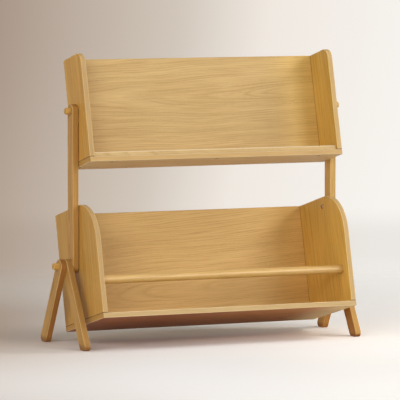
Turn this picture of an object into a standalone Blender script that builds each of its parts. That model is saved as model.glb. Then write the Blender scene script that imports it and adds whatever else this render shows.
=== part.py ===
# Two-tier bookcase: two open bins, both tilted back, carried between two vertical posts.
# Each post stands on a pair of splayed legs, and one dowel pins post, legs and lower bin together.
# Metres, +Z up, the front towards -Y, the origin on the floor under the middle of the object.

from math import atan2, cos, pi, radians, sin, tan

import bmesh
import bpy
from mathutils import Vector

for leftover in list(bpy.data.objects):
    bpy.data.objects.remove(leftover, do_unlink=True)


# Boards
PANEL_THICKNESS = 0.015
LEG_THICKNESS = 0.018
EDGE_ROUND = 0.002
FIT_GAP = 0.0003

# Both bins, and the clear heights under the lowest corner of each
BIN_WIDTH = 0.800
BIN_TILT = radians(14)
LOWER_BIN_ABOVE_FLOOR = 0.0288
UPPER_BIN_ABOVE_LOWER = 0.0976

# Upper bin, its side boards measured with the bottom board under them
UPPER_DEPTH = 0.130
UPPER_HEIGHT = 0.320
UPPER_CORNER_RADIUS = 0.032
UPPER_PIVOT_FROM_BACK = 0.062
UPPER_PIVOT_FROM_BOTTOM = 0.160
LIP_HEIGHT = 0.014
LIP_DEPTH = 0.015
LIP_SETBACK = 0.008
LIP_ROUND = 0.005
LIP_EASE = 0.001

# Lower bin
LOWER_DEPTH = 0.292
LOWER_HEIGHT = 0.343
LOWER_CORNER_RADIUS = 0.118
LOWER_PIVOT_FROM_BACK = 0.130
LOWER_PIVOT_FROM_BOTTOM = 0.175
RAIL_DIAMETER = 0.025
RAIL_FROM_FRONT = 0.044
RAIL_FROM_BOTTOM = 0.115
RAIL_SOCKET_DEPTH = 0.008

# Posts and legs
POST_WIDTH = 0.040
POST_TO_BIN_SPACE = 0.002
LEG_WIDTH = 0.040
FRONT_LEG_LEAN = radians(31)
REAR_LEG_LEAN = radians(29)
FOOT_CORNER_RADIUS = 0.012

# Pivot dowels, each ending blind in the bin's side board
DOWEL_DIAMETER = 0.020
DOWEL_END_ROUND = 0.004
DOWEL_CHAMFER = 0.001
DOWEL_SOCKET_DEPTH = 0.009
UPPER_DOWEL_PROUD = 0.016
LOWER_DOWEL_PROUD = 0.018
SPACER_DIAMETER = 0.032

# Wooden pins
PIN_DIAMETER = 0.008
PIN_SOCKET_IN_SIDE = 0.009
PIN_SOCKET_IN_BACK = 0.020
PIN_SOCKET_IN_POST = 0.011
LOCATING_PIN_ABOVE_SCREWS = 0.023

# Countersunk wood screws
SCREW_HEAD_DIAMETER = 0.0075
SCREW_HEAD_HEIGHT = 0.003
SCREW_SHANK_DIAMETER = 0.0038
SCREW_POINT_LENGTH = 0.004
BOTTOM_SCREW_LENGTH = 0.040
SCREW_POINT_COVER = 0.006
LEG_SCREW_TO_POST = 0.0015
CUT_OVERRUN = 0.002

# Connector bolt between the lower bin and the post, and the threaded insert that takes it
BOLT_BELOW_TOP = 0.028
BOLT_HEAD_DIAMETER = 0.014
BOLT_HEAD_HEIGHT = 0.0022
BOLT_HEAD_ROUND = 0.001
BOLT_SHANK_DIAMETER = 0.006
BOLT_REACH_IN_INSERT = 0.010
BOLT_SOCKET_ACROSS = 0.004
BOLT_SOCKET_DEPTH = 0.0014
INSERT_DIAMETER = 0.010
INSERT_LENGTH = 0.013
INSERT_FLANGE_DIAMETER = 0.014
INSERT_FLANGE_HEIGHT = 0.0012
BOLT_SPACER_DIAMETER = 0.018

# Numbers of fasteners, and where they stand along what they hold
UPPER_SIDE_SCREW_SHARES = (0.24, 0.76)
LOWER_SIDE_SCREW_SHARES = (0.20, 0.80)
BACK_SCREW_SHARES = (-0.30, 0.30)
LIP_SCREW_SHARES = (-0.41, 0, 0.41)
BACK_PIN_SHARES = (0.35, 0.82)

# Fineness of the round forms
ROUND_PROFILE_SHARE = 0.5
CORNER_STEPS = 6
LARGE_CORNER_STEPS = 16
END_STEPS = 7
FOOT_STEPS = 5
EDGE_STEPS = 2
TURNED_EDGE_STEPS = 3
DOWEL_SIDES = 28
SPACER_SIDES = 20
PIN_SIDES = 10
SCREW_SIDES = 10
BOLT_SIDES = 18
HEX_SIDES = 6
SHARP_ANGLE = radians(35)
MERGE_DISTANCE = 0.000001

HANDS = (("left", -1), ("right", 1))

# Turns that point a fastener's own X axis up, or back towards -X
UPWARD = (0, -pi / 2, 0)
HALF_TURN = (0, 0, pi)

# Colours are linear values
OAK = (0.578, 0.376, 0.156, 1.0)
OAK_BACK = (0.560, 0.350, 0.150, 1.0)
BEECH = (0.540, 0.340, 0.140, 1.0)
STEEL = (0.350, 0.340, 0.330, 1.0)
ZINC = (0.600, 0.580, 0.520, 1.0)
NYLON = (0.020, 0.018, 0.016, 1.0)

# Where the layers of the stand lie, outward from the bin's side board
BIN_SIDE_FACE = BIN_WIDTH / 2
BIN_INNER_FACE = BIN_SIDE_FACE - PANEL_THICKNESS
POST_INNER_FACE = BIN_SIDE_FACE + POST_TO_BIN_SPACE
POST_OUTER_FACE = POST_INNER_FACE + LEG_THICKNESS
FRONT_LEG_INNER_FACE = POST_OUTER_FACE + FIT_GAP
FRONT_LEG_OUTER_FACE = FRONT_LEG_INNER_FACE + LEG_THICKNESS
REAR_LEG_INNER_FACE = FRONT_LEG_OUTER_FACE + FIT_GAP
REAR_LEG_OUTER_FACE = REAR_LEG_INNER_FACE + LEG_THICKNESS

# Pivot heights: a bin's lowest point is its rear bottom edge, the lower bin's highest its round front corner
LOWER_PIVOT_RISE = LOWER_PIVOT_FROM_BACK * sin(BIN_TILT) + LOWER_PIVOT_FROM_BOTTOM * cos(BIN_TILT)
UPPER_PIVOT_RISE = UPPER_PIVOT_FROM_BACK * sin(BIN_TILT) + UPPER_PIVOT_FROM_BOTTOM * cos(BIN_TILT)
LOWER_CORNER_RISE = (LOWER_DEPTH - LOWER_CORNER_RADIUS) * sin(BIN_TILT) + LOWER_CORNER_RADIUS
LOWER_BIN_TALLNESS = LOWER_CORNER_RISE + (LOWER_HEIGHT - LOWER_CORNER_RADIUS) * cos(BIN_TILT)
LOWER_PIVOT_HEIGHT = LOWER_BIN_ABOVE_FLOOR + LOWER_PIVOT_RISE
UPPER_BIN_FLOOR = LOWER_BIN_ABOVE_FLOOR + LOWER_BIN_TALLNESS + UPPER_BIN_ABOVE_LOWER
UPPER_PIVOT_HEIGHT = UPPER_BIN_FLOOR + UPPER_PIVOT_RISE

# The lower bin reaches furthest to the front and the back, so it centres the object over the origin
LOWER_BIN_Y = (LOWER_DEPTH * cos(BIN_TILT) - LOWER_HEIGHT * sin(BIN_TILT)) / 2
POST_Y = LOWER_BIN_Y - LOWER_PIVOT_FROM_BACK * cos(BIN_TILT) + LOWER_PIVOT_FROM_BOTTOM * sin(BIN_TILT)


def material(name, colour, roughness, metallic):
    made = bpy.data.materials.new(name)
    made.use_nodes = True
    shader = made.node_tree.nodes["Principled BSDF"]
    shader.inputs["Base Color"].default_value = colour
    shader.inputs["Roughness"].default_value = roughness
    shader.inputs["Metallic"].default_value = metallic
    made.diffuse_color = colour
    return made


oak_panel = material("oak_veneer_panel", OAK, 0.5, 0.0)
oak_back = material("oak_veneer_back", OAK_BACK, 0.5, 0.0)
solid_oak = material("solid_oak", OAK, 0.45, 0.0)
beech = material("beech_pin", BEECH, 0.6, 0.0)
steel = material("dark_steel", STEEL, 0.35, 1.0)
zinc = material("zinc_plated_steel", ZINC, 0.35, 1.0)
nylon = material("black_nylon", NYLON, 0.6, 0.0)


def finish(bm, name, surface, parent=None, location=(0, 0, 0), turn=(0, 0, 0)):
    # Closes a bmesh into a named object, placed by its location and its turn
    bmesh.ops.recalc_face_normals(bm, faces=bm.faces)
    mesh = bpy.data.meshes.new(name)
    bm.to_mesh(mesh)
    bm.free()
    mesh.shade_smooth()
    mesh.set_sharp_from_angle(angle=SHARP_ANGLE)
    mesh.materials.append(surface)
    piece = bpy.data.objects.new(name, mesh)
    bpy.context.scene.collection.objects.link(piece)
    piece.parent = parent
    piece.location = location
    piece.rotation_euler = turn
    return piece


def rounded_outline(corners):
    # Each corner is (y, z, radius, steps), and its arc is tangent to the two sides that meet there
    points = []
    for index, (y, z, radius, steps) in enumerate(corners):
        corner = Vector((y, z))
        following = corners[(index + 1) % len(corners)]
        to_last = (Vector(corners[index - 1][:2]) - corner).normalized()
        to_next = (Vector(following[:2]) - corner).normalized()
        if radius == 0:
            points.append(corner)
            continue
        half_angle = to_last.angle(to_next) / 2
        centre = corner + (to_last + to_next).normalized() * radius / sin(half_angle)
        first = corner + to_last * radius / tan(half_angle) - centre
        last = corner + to_next * radius / tan(half_angle) - centre
        start = atan2(first.y, first.x)
        sweep = (atan2(last.y, last.x) - start + pi) % (2 * pi) - pi
        for step in range(steps + 1):
            turn = start + sweep * step / steps
            points.append(centre + Vector((cos(turn), sin(turn))) * radius)
    return points


def rectangle(front, back, bottom, top):
    return [(back, bottom), (back, top), (front, top), (front, bottom)]


def board(outline, thickness, edge_round=EDGE_ROUND):
    # A flat board in the YZ plane, centred on X, with every sharp edge rounded over
    bm = bmesh.new()
    bm.faces.new([bm.verts.new((-thickness / 2, y, z)) for y, z in outline])
    bmesh.ops.remove_doubles(bm, verts=bm.verts, dist=MERGE_DISTANCE)
    grown = bmesh.ops.extrude_face_region(bm, geom=list(bm.faces))
    moved = [part for part in grown["geom"] if isinstance(part, bmesh.types.BMVert)]
    bmesh.ops.translate(bm, vec=(thickness, 0, 0), verts=moved)
    bmesh.ops.recalc_face_normals(bm, faces=bm.faces)
    sharp = [edge for edge in bm.edges if edge.calc_face_angle(0) > SHARP_ANGLE]
    bmesh.ops.bevel(bm, geom=sharp, offset=edge_round, segments=EDGE_STEPS, profile=ROUND_PROFILE_SHARE,
                    affect="EDGES")
    return bm


def turned(profile, sides, hand=1, closed=False):
    # A solid turned about X from (x, radius) points, with a bore where the profile is a closed ring.
    # Hand -1 turns the mirror image of the profile, for the left of the object.
    bm = bmesh.new()
    points = [bm.verts.new((hand * x, 0, radius)) for x, radius in profile]
    edges = [bm.edges.new(pair) for pair in zip(points, points[1:])]
    if closed:
        edges.append(bm.edges.new((points[-1], points[0])))
    bmesh.ops.spin(bm, geom=points + edges, axis=(1, 0, 0), cent=(0, 0, 0), steps=sides, angle=2 * pi,
                   use_merge=True)
    bmesh.ops.remove_doubles(bm, verts=bm.verts, dist=MERGE_DISTANCE)
    return bm


def cylinder(start, end, radius, sides, hand=1):
    return turned([(start, 0), (start, radius), (end, radius), (end, 0)], sides, hand)


def ring(start, end, inner_radius, outer_radius, sides, hand):
    profile = [(start, inner_radius), (start, outer_radius), (end, outer_radius), (end, inner_radius)]
    return turned(profile, sides, hand, closed=True)


def screw(length, clearance=0.0):
    # Countersunk head at the origin, point along +X; with a clearance it is the cutter of its hole
    head = SCREW_HEAD_DIAMETER / 2 + clearance
    shank = SCREW_SHANK_DIAMETER / 2 + clearance
    tip = length + clearance
    profile = [(0, head), (SCREW_HEAD_HEIGHT, shank), (length - SCREW_POINT_LENGTH, shank), (tip, 0)]
    if clearance:
        profile = [(-CUT_OVERRUN, 0), (-CUT_OVERRUN, head)] + profile
    else:
        profile = [(0, 0)] + profile
    return turned(profile, SCREW_SIDES)


def pin(length, clearance=0.0):
    # Wooden pin centred on its origin, along X; with a clearance it is the cutter of its hole
    half = length / 2 + clearance
    return cylinder(-half, half, PIN_DIAMETER / 2 + clearance, PIN_SIDES)


def cut(piece, *tools):
    # Takes the shape of each tool out of the piece
    bpy.context.view_layer.update()
    bpy.context.view_layer.objects.active = piece
    for tool in tools:
        modifier = piece.modifiers.new("bore", "BOOLEAN")
        modifier.operation = "DIFFERENCE"
        modifier.solver = "EXACT"
        modifier.object = tool
        bpy.ops.object.modifier_apply(modifier=modifier.name)
    piece.data.shade_smooth()
    piece.data.set_sharp_from_angle(angle=SHARP_ANGLE)


cutters = []


def cutter_of(bm, parent=None, location=(0, 0, 0), turn=(0, 0, 0)):
    # A guide object that only cuts, and is removed once everything is bored
    guide = finish(bm, "cutter", nylon, parent, location, turn)
    guide.hide_render = True
    guide.display_type = "WIRE"
    cutters.append(guide)
    return guide


def driven_screw(name, length, parent, location, turn):
    # A screw in its place, and the cutter of its hole
    finish(screw(length), name, steel, parent, location, turn)
    return cutter_of(screw(length, FIT_GAP), parent, location, turn)


def set_pin(name, length, parent, location):
    # A pin in its place, and the cutter of its hole
    finish(pin(length), name, beech, parent, location)
    return cutter_of(pin(length, FIT_GAP), parent, location)


def bin_frame(name, pivot_height, pivot_from_back, pivot_from_bottom):
    # In the bin's own frame Z runs up its back and -Y forward along its bottom board
    back = POST_Y + pivot_from_back * cos(BIN_TILT) - pivot_from_bottom * sin(BIN_TILT)
    bottom = pivot_height - pivot_from_back * sin(BIN_TILT) - pivot_from_bottom * cos(BIN_TILT)
    empty = bpy.data.objects.new(name, None)
    bpy.context.scene.collection.objects.link(empty)
    empty.location = (0, back, bottom)
    empty.rotation_euler = (-BIN_TILT, 0, 0)
    return empty


def build_bin(name, frame, depth, height, corner_radius, corner_steps, side_screw_shares):
    # Two side boards and a back board stand on the bottom board, screwed from below and pinned at the back
    floor = PANEL_THICKNESS + FIT_GAP
    back_middle = -PANEL_THICKNESS / 2
    side_middle = BIN_SIDE_FACE - PANEL_THICKNESS / 2
    side_outline = rounded_outline([
        (0, floor, 0, 0),
        (0, height, 0, 0),
        (-depth, height, corner_radius, corner_steps),
        (-depth, floor, 0, 0),
    ])
    bottom_board = board(rectangle(-depth, 0, 0, PANEL_THICKNESS), BIN_WIDTH)
    back_board = board(rectangle(-PANEL_THICKNESS, 0, floor, height), 2 * (BIN_INNER_FACE - FIT_GAP))
    bottom = finish(bottom_board, name + "_bottom", oak_panel, frame)
    back = finish(back_board, name + "_back", oak_back, frame)
    for number, share in enumerate(BACK_SCREW_SHARES, 1):
        place = (BIN_WIDTH * share, back_middle, FIT_GAP)
        hole = driven_screw(f"{name}_back_screw_{number}", BOTTOM_SCREW_LENGTH, frame, place, UPWARD)
        cut(bottom, hole)
        cut(back, hole)

    pin_start = BIN_INNER_FACE - PIN_SOCKET_IN_BACK
    pin_end = BIN_INNER_FACE + PIN_SOCKET_IN_SIDE
    sides = {}
    for hand, side in HANDS:
        piece = f"{name}_{hand}"
        side_board = board(side_outline, PANEL_THICKNESS)
        sides[hand] = finish(side_board, piece + "_side", oak_panel, frame, (side * side_middle, 0, 0))
        for number, share in enumerate(side_screw_shares, 1):
            place = (side * side_middle, -depth * share, FIT_GAP)
            hole = driven_screw(f"{piece}_side_screw_{number}", BOTTOM_SCREW_LENGTH, frame, place, UPWARD)
            cut(bottom, hole)
            cut(sides[hand], hole)
        for number, share in enumerate(BACK_PIN_SHARES, 1):
            place = (side * (pin_start + pin_end) / 2, back_middle, height * share)
            hole = set_pin(f"{piece}_back_pin_{number}", pin_end - pin_start, frame, place)
            cut(back, hole)
            cut(sides[hand], hole)
    return bottom, sides


def build_lip(frame, bottom):
    # The strip along the upper bin's front, its top edge rounded towards the front
    front = LIP_SETBACK - UPPER_DEPTH
    back = front + LIP_DEPTH
    floor = PANEL_THICKNESS + FIT_GAP
    top = PANEL_THICKNESS + LIP_HEIGHT
    outline = rounded_outline([
        (back, floor, 0, 0),
        (back, top, 0, 0),
        (front, top, LIP_ROUND, CORNER_STEPS),
        (front, floor, 0, 0),
    ])
    screw_length = top - FIT_GAP - SCREW_POINT_COVER
    strip = board(outline, 2 * (BIN_INNER_FACE - FIT_GAP), LIP_EASE)
    lip = finish(strip, "upper_front_lip", solid_oak, frame)
    for number, share in enumerate(LIP_SCREW_SHARES, 1):
        place = (BIN_WIDTH * share, (front + back) / 2, FIT_GAP)
        hole = driven_screw(f"upper_lip_screw_{number}", screw_length, frame, place, UPWARD)
        cut(bottom, hole)
        cut(lip, hole)


def build_rail(frame, sides):
    # A round rail let into a blind socket in each side board
    place = (0, RAIL_FROM_FRONT - LOWER_DEPTH, RAIL_FROM_BOTTOM)
    radius = RAIL_DIAMETER / 2
    end = BIN_INNER_FACE + RAIL_SOCKET_DEPTH
    rail = cylinder(FIT_GAP - end, end - FIT_GAP, radius, DOWEL_SIDES)
    finish(rail, "lower_front_rail", solid_oak, frame, place)
    socket = cutter_of(cylinder(-end, end, radius + FIT_GAP, DOWEL_SIDES), frame, place)
    for hand, side in HANDS:
        cut(sides[hand], socket)


def post_outline():
    # Measured from the lower pivot; each end is a half circle round its pivot
    half = POST_WIDTH / 2
    top = UPPER_PIVOT_HEIGHT - LOWER_PIVOT_HEIGHT + half
    return rounded_outline([
        (half, -half, half, END_STEPS),
        (half, top, half, END_STEPS),
        (-half, top, half, END_STEPS),
        (-half, -half, half, END_STEPS),
    ])


def leg_outline(lean):
    # Measured from the lower pivot with the leg upright; the foot is cut so that it lies flat once it leans
    half = LEG_WIDTH / 2
    rear_foot = (-LOWER_PIVOT_HEIGHT - half * sin(lean)) / cos(lean)
    front_foot = (-LOWER_PIVOT_HEIGHT + half * sin(lean)) / cos(lean)
    return rounded_outline([
        (half, rear_foot, FOOT_CORNER_RADIUS, FOOT_STEPS),
        (half, half, half, END_STEPS),
        (-half, half, half, END_STEPS),
        (-half, front_foot, FOOT_CORNER_RADIUS, FOOT_STEPS),
    ])


def pivot_dowel(name, height, side, proud_face):
    # Blind in the bin's side board, rounded over where it stands proud of the outermost layer
    place = (0, POST_Y, height)
    radius = DOWEL_DIAMETER / 2
    start = BIN_SIDE_FACE - DOWEL_SOCKET_DEPTH
    inner_end = start + FIT_GAP
    profile = [(inner_end, 0), (inner_end, radius - DOWEL_CHAMFER), (inner_end + DOWEL_CHAMFER, radius)]
    for step in range(TURNED_EDGE_STEPS + 1):
        turn = pi / 2 * step / TURNED_EDGE_STEPS
        reach = proud_face - DOWEL_END_ROUND * (1 - sin(turn))
        profile.append((reach, radius - DOWEL_END_ROUND * (1 - cos(turn))))
    profile.append((proud_face, 0))
    finish(turned(profile, DOWEL_SIDES, side), name, solid_oak, None, place)
    bore = cylinder(start, proud_face + CUT_OVERRUN, radius + FIT_GAP, DOWEL_SIDES, side)
    return cutter_of(bore, None, place)


def spacer(name, height, side, held_diameter, diameter):
    # Keeps the post clear of the bin's side board
    start = BIN_SIDE_FACE + FIT_GAP
    end = POST_INNER_FACE - FIT_GAP
    washer = ring(start, end, held_diameter / 2 + FIT_GAP, diameter / 2, SPACER_SIDES, side)
    finish(washer, name, nylon, None, (0, POST_Y, height))


def connector_bolt(hand, side, height):
    # Low domed head with a hexagon socket on the bin's inner face, its shank in the insert in the post
    place = (0, POST_Y, height)
    shank = BOLT_SHANK_DIAMETER / 2
    head = BOLT_HEAD_DIAMETER / 2
    seat = BIN_INNER_FACE - FIT_GAP
    crown = seat - BOLT_HEAD_HEIGHT
    end = POST_INNER_FACE + BOLT_REACH_IN_INSERT
    profile = [(crown, 0)]
    for step in range(TURNED_EDGE_STEPS + 1):
        turn = pi / 2 * step / TURNED_EDGE_STEPS
        reach = crown + BOLT_HEAD_ROUND * (1 - cos(turn))
        profile.append((reach, head - BOLT_HEAD_ROUND * (1 - sin(turn))))
    profile += [(seat, head), (seat, shank), (end, shank), (end, 0)]
    bolt = finish(turned(profile, BOLT_SIDES, side), hand + "_connector_bolt", steel, None, place)
    socket_radius = BOLT_SOCKET_ACROSS / 2 / cos(pi / HEX_SIDES)
    socket = cylinder(crown - CUT_OVERRUN, crown + BOLT_SOCKET_DEPTH, socket_radius, HEX_SIDES, side)
    cut(bolt, cutter_of(socket, None, place))
    hole_start = BIN_INNER_FACE - CUT_OVERRUN
    hole_end = BIN_SIDE_FACE + CUT_OVERRUN
    return cutter_of(cylinder(hole_start, hole_end, shank + FIT_GAP, BOLT_SIDES, side), None, place)


def threaded_insert(hand, side, height):
    # A flanged sleeve let into the post from its inner face
    place = (0, POST_Y, height)
    bore = BOLT_SHANK_DIAMETER / 2 + FIT_GAP
    flange = INSERT_FLANGE_DIAMETER / 2
    sleeve = INSERT_DIAMETER / 2
    start = POST_INNER_FACE + FIT_GAP
    under_flange = start + INSERT_FLANGE_HEIGHT
    end = start + INSERT_LENGTH
    profile = [
        (start, bore),
        (start, flange),
        (under_flange, flange),
        (under_flange, sleeve),
        (end, sleeve),
        (end, bore),
    ]
    finish(turned(profile, BOLT_SIDES, side, closed=True), hand + "_threaded_insert", zinc, None, place)
    mouth = POST_INNER_FACE - CUT_OVERRUN
    hole = [
        (mouth, 0),
        (mouth, flange + FIT_GAP),
        (under_flange + FIT_GAP, flange + FIT_GAP),
        (under_flange + FIT_GAP, sleeve + FIT_GAP),
        (end + FIT_GAP, sleeve + FIT_GAP),
        (end + FIT_GAP, 0),
    ]
    return cutter_of(turned(hole, BOLT_SIDES, side), None, place)


def build_stand(hand, side, upper_side, lower_side):
    # Post, front leg and rear leg lie one outside the other and share the lower pivot dowel
    def layer(outline, name, inner_face, lean):
        place = (side * (inner_face + LEG_THICKNESS / 2), POST_Y, LOWER_PIVOT_HEIGHT)
        return finish(board(outline, LEG_THICKNESS), f"{hand}_{name}", solid_oak, None, place, (lean, 0, 0))

    post = layer(post_outline(), "post", POST_INNER_FACE, 0)
    front_leg = layer(leg_outline(-FRONT_LEG_LEAN), "front_leg", FRONT_LEG_INNER_FACE, -FRONT_LEG_LEAN)
    rear_leg = layer(leg_outline(REAR_LEG_LEAN), "rear_leg", REAR_LEG_INNER_FACE, REAR_LEG_LEAN)

    lower_end = REAR_LEG_OUTER_FACE + LOWER_DOWEL_PROUD
    upper_end = POST_OUTER_FACE + UPPER_DOWEL_PROUD
    lower_bore = pivot_dowel(hand + "_lower_dowel", LOWER_PIVOT_HEIGHT, side, lower_end)
    upper_bore = pivot_dowel(hand + "_upper_dowel", UPPER_PIVOT_HEIGHT, side, upper_end)
    spacer(hand + "_lower_spacer", LOWER_PIVOT_HEIGHT, side, DOWEL_DIAMETER, SPACER_DIAMETER)
    spacer(hand + "_upper_spacer", UPPER_PIVOT_HEIGHT, side, DOWEL_DIAMETER, SPACER_DIAMETER)

    # The post stands upright in front of the tilted side boards, so heights on it are stretched by the tilt
    bolt_rise = (LOWER_HEIGHT - BOLT_BELOW_TOP - LOWER_PIVOT_FROM_BOTTOM) / cos(BIN_TILT)
    bolt_height = LOWER_PIVOT_HEIGHT + bolt_rise
    bolt_hole = connector_bolt(hand, side, bolt_height)
    insert_hole = threaded_insert(hand, side, bolt_height)
    spacer(hand + "_bolt_spacer", bolt_height, side, BOLT_SHANK_DIAMETER, BOLT_SPACER_DIAMETER)

    # The locating pin stops the upper bin from turning about its dowel, and clears the screws below it
    pin_drop = (UPPER_PIVOT_FROM_BOTTOM - BOTTOM_SCREW_LENGTH - LOCATING_PIN_ABOVE_SCREWS) / cos(BIN_TILT)
    pin_start = BIN_SIDE_FACE - PIN_SOCKET_IN_SIDE
    pin_end = POST_INNER_FACE + PIN_SOCKET_IN_POST
    pin_place = (side * (pin_start + pin_end) / 2, POST_Y, UPPER_PIVOT_HEIGHT - pin_drop)
    pin_hole = set_pin(hand + "_locating_pin", pin_end - pin_start, None, pin_place)

    # One screw ties the post to both legs, midway between the dowel and the top of the legs.
    # Another ties the two legs together, its head just clear of the lower end of the post.
    rise = (DOWEL_DIAMETER + LEG_WIDTH) / 4
    drop = (POST_WIDTH + SCREW_HEAD_DIAMETER) / 2 + LEG_SCREW_TO_POST
    outward = (0, 0, 0) if side > 0 else HALF_TURN
    post_screw_start = POST_INNER_FACE + FIT_GAP
    leg_screw_start = FRONT_LEG_INNER_FACE + FIT_GAP
    screw_end = REAR_LEG_OUTER_FACE - SCREW_POINT_COVER
    post_place = (side * post_screw_start, POST_Y, LOWER_PIVOT_HEIGHT + rise)
    leg_place = (side * leg_screw_start, POST_Y, LOWER_PIVOT_HEIGHT - drop)
    post_screw = (hand + "_post_screw", screw_end - post_screw_start)
    leg_screw = (hand + "_leg_screw", screw_end - leg_screw_start)
    post_screw_hole = driven_screw(*post_screw, None, post_place, outward)
    leg_screw_hole = driven_screw(*leg_screw, None, leg_place, outward)

    cut(post, lower_bore, upper_bore, insert_hole, pin_hole, post_screw_hole)
    cut(front_leg, lower_bore, post_screw_hole, leg_screw_hole)
    cut(rear_leg, lower_bore, post_screw_hole, leg_screw_hole)
    cut(upper_side, upper_bore, pin_hole)
    cut(lower_side, lower_bore, bolt_hole)


upper_bin = bin_frame("upper_bin", UPPER_PIVOT_HEIGHT, UPPER_PIVOT_FROM_BACK, UPPER_PIVOT_FROM_BOTTOM)
upper_bottom, upper_sides = build_bin("upper", upper_bin, UPPER_DEPTH, UPPER_HEIGHT, UPPER_CORNER_RADIUS,
                                      CORNER_STEPS, UPPER_SIDE_SCREW_SHARES)
build_lip(upper_bin, upper_bottom)

lower_bin = bin_frame("lower_bin", LOWER_PIVOT_HEIGHT, LOWER_PIVOT_FROM_BACK, LOWER_PIVOT_FROM_BOTTOM)
lower_bottom, lower_sides = build_bin("lower", lower_bin, LOWER_DEPTH, LOWER_HEIGHT, LOWER_CORNER_RADIUS,
                                      LARGE_CORNER_STEPS, LOWER_SIDE_SCREW_SHARES)
build_rail(lower_bin, lower_sides)

for hand, side in HANDS:
    build_stand(hand, side, upper_sides[hand], lower_sides[hand])

for guide in cutters:
    bpy.data.objects.remove(guide, do_unlink=True)
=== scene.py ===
from itertools import count
from math import cos, pi, radians, sin, tan

import bmesh
import bpy
from mathutils import Matrix, Vector


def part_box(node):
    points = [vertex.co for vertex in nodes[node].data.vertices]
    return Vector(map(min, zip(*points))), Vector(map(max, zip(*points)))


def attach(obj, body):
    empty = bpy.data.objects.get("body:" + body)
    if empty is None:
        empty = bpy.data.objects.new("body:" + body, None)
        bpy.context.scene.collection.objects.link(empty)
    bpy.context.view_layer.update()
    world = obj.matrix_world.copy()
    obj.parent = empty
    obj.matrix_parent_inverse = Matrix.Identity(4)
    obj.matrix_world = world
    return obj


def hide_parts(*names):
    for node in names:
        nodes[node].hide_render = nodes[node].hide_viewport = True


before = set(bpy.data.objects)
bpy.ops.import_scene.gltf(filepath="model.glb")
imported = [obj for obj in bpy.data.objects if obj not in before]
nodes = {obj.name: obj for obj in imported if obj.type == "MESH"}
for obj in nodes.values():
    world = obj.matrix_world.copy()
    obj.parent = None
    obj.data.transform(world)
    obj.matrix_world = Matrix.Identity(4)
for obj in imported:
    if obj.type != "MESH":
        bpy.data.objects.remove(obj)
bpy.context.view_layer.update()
print("frame loaded:", len(nodes), "nodes")


class Wire:
    # a socket of a material's nodes, on which sums are written as Python writes them
    def __init__(self, bench, socket):
        self.bench = bench
        self.socket = socket

    def sum(self, operation, first, second=None):
        given = {0: first} if second is None else {0: first, 1: second}
        return self.bench.add("ShaderNodeMath", {"operation": operation}, given)

    def __add__(self, other):
        return self.sum("ADD", self, other)

    def __radd__(self, other):
        return self.sum("ADD", other, self)

    def __sub__(self, other):
        return self.sum("SUBTRACT", self, other)

    def __rsub__(self, other):
        return self.sum("SUBTRACT", other, self)

    def __mul__(self, other):
        return self.sum("MULTIPLY", self, other)

    def __rmul__(self, other):
        return self.sum("MULTIPLY", other, self)

    def size(self):
        return self.sum("ABSOLUTE", self)

    def root(self):
        return self.sum("SQRT", self)

    def most(self, other):
        return self.sum("MAXIMUM", self, other)

    def part(self):
        return self.sum("FRACT", self)

    def swing(self):
        # a noise, measured from its middle
        return self - 0.5

    def rise(self, start, end, low=0.0, high=1.0):
        # goes smoothly from low to high as this value goes from start to end
        settings = {"interpolation_type": "SMOOTHSTEP"}
        given = {0: self, 1: start, 2: end, 3: low, 4: high}
        return self.bench.add("ShaderNodeMapRange", settings, given)


class Bench:
    # the nodes of one material or of the world
    def __init__(self, owner):
        owner.use_nodes = True
        self.tree = owner.node_tree
        self.tree.nodes.clear()

    def add(self, kind, settings=None, given=None, out=0):
        node = self.tree.nodes.new(kind)
        for name, value in (settings or {}).items():
            if name == "stops":
                ramp = node.color_ramp
                while len(ramp.elements) < len(value):
                    ramp.elements.new(1.0)
                for element, (position, colour) in zip(ramp.elements, value):
                    element.position = position
                    element.color = (*colour, 1.0)
            else:
                setattr(node, name, value)
        for name, value in (given or {}).items():
            if isinstance(value, Wire):
                self.tree.links.new(value.socket, node.inputs[name])
            else:
                node.inputs[name].default_value = value
        return Wire(self, node.outputs[out])

    def mix(self, share, first, second):
        # sockets 6, 7 and 2 are the node's colours
        given = {0: share, 6: first, 7: second}
        return self.add("ShaderNodeMix", {"data_type": "RGBA"}, given, 2)

    def vector(self, x, y, z):
        return self.add("ShaderNodeCombineXYZ", None, {0: x, 1: y, 2: z})

    def apart(self, vector):
        node = self.tree.nodes.new("ShaderNodeSeparateXYZ")
        self.tree.links.new(vector.socket, node.inputs[0])
        return [Wire(self, socket) for socket in node.outputs]

    def noise(self, place, detail=2.0, roughness=0.5, scale=1.0):
        given = {"Vector": place, "Scale": scale, "Detail": detail, "Roughness": roughness}
        return self.add("ShaderNodeTexNoise", None, given)

    def output(self, shader, kind="ShaderNodeOutputMaterial"):
        node = self.tree.nodes.new(kind)
        self.tree.links.new(shader.socket, node.inputs[0])


# oak: tones, grain and finish shared by all oak pieces
oakTones = {
    "light": (0.665, 0.440, 0.188),
    "deep": (0.470, 0.280, 0.098),
    "pore": (0.300, 0.160, 0.050),
    "end": (0.330, 0.170, 0.055),
    "joint": (0.170, 0.080, 0.028),
    # the pale tone of the painted highlight on eased edges
    "edgeHighlight": (0.800, 0.650, 0.450),
}
plain = (1.0, 1.0, 1.0)
# waves per metre along and across the grain, then detail and roughness of the noise
oakGrain = {
    "drift": (2.4, 7.0, 1.0, 0.5),
    "waver": (5.0, 26.0, 1.0, 0.5),
    "sway": (4.0, 14.0, 2.0, 0.5),
    "dashes": (9.0, 380.0, 2.0, 0.6),
    "fibres": (22.0, 900.0, 2.0, 0.6),
    "pores": (90.0, 1900.0, 1.0, 0.5),
}
# broad clouds, and the streaks of an edge band
oakCloud = {"along": 2.6, "across": 8.0, "detail": 1.0}
oakBand = {"along": 12.0, "thick": 520.0, "noise": (2.0, 0.6), "contrast": 1.2, "offset": 0.15}
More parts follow.
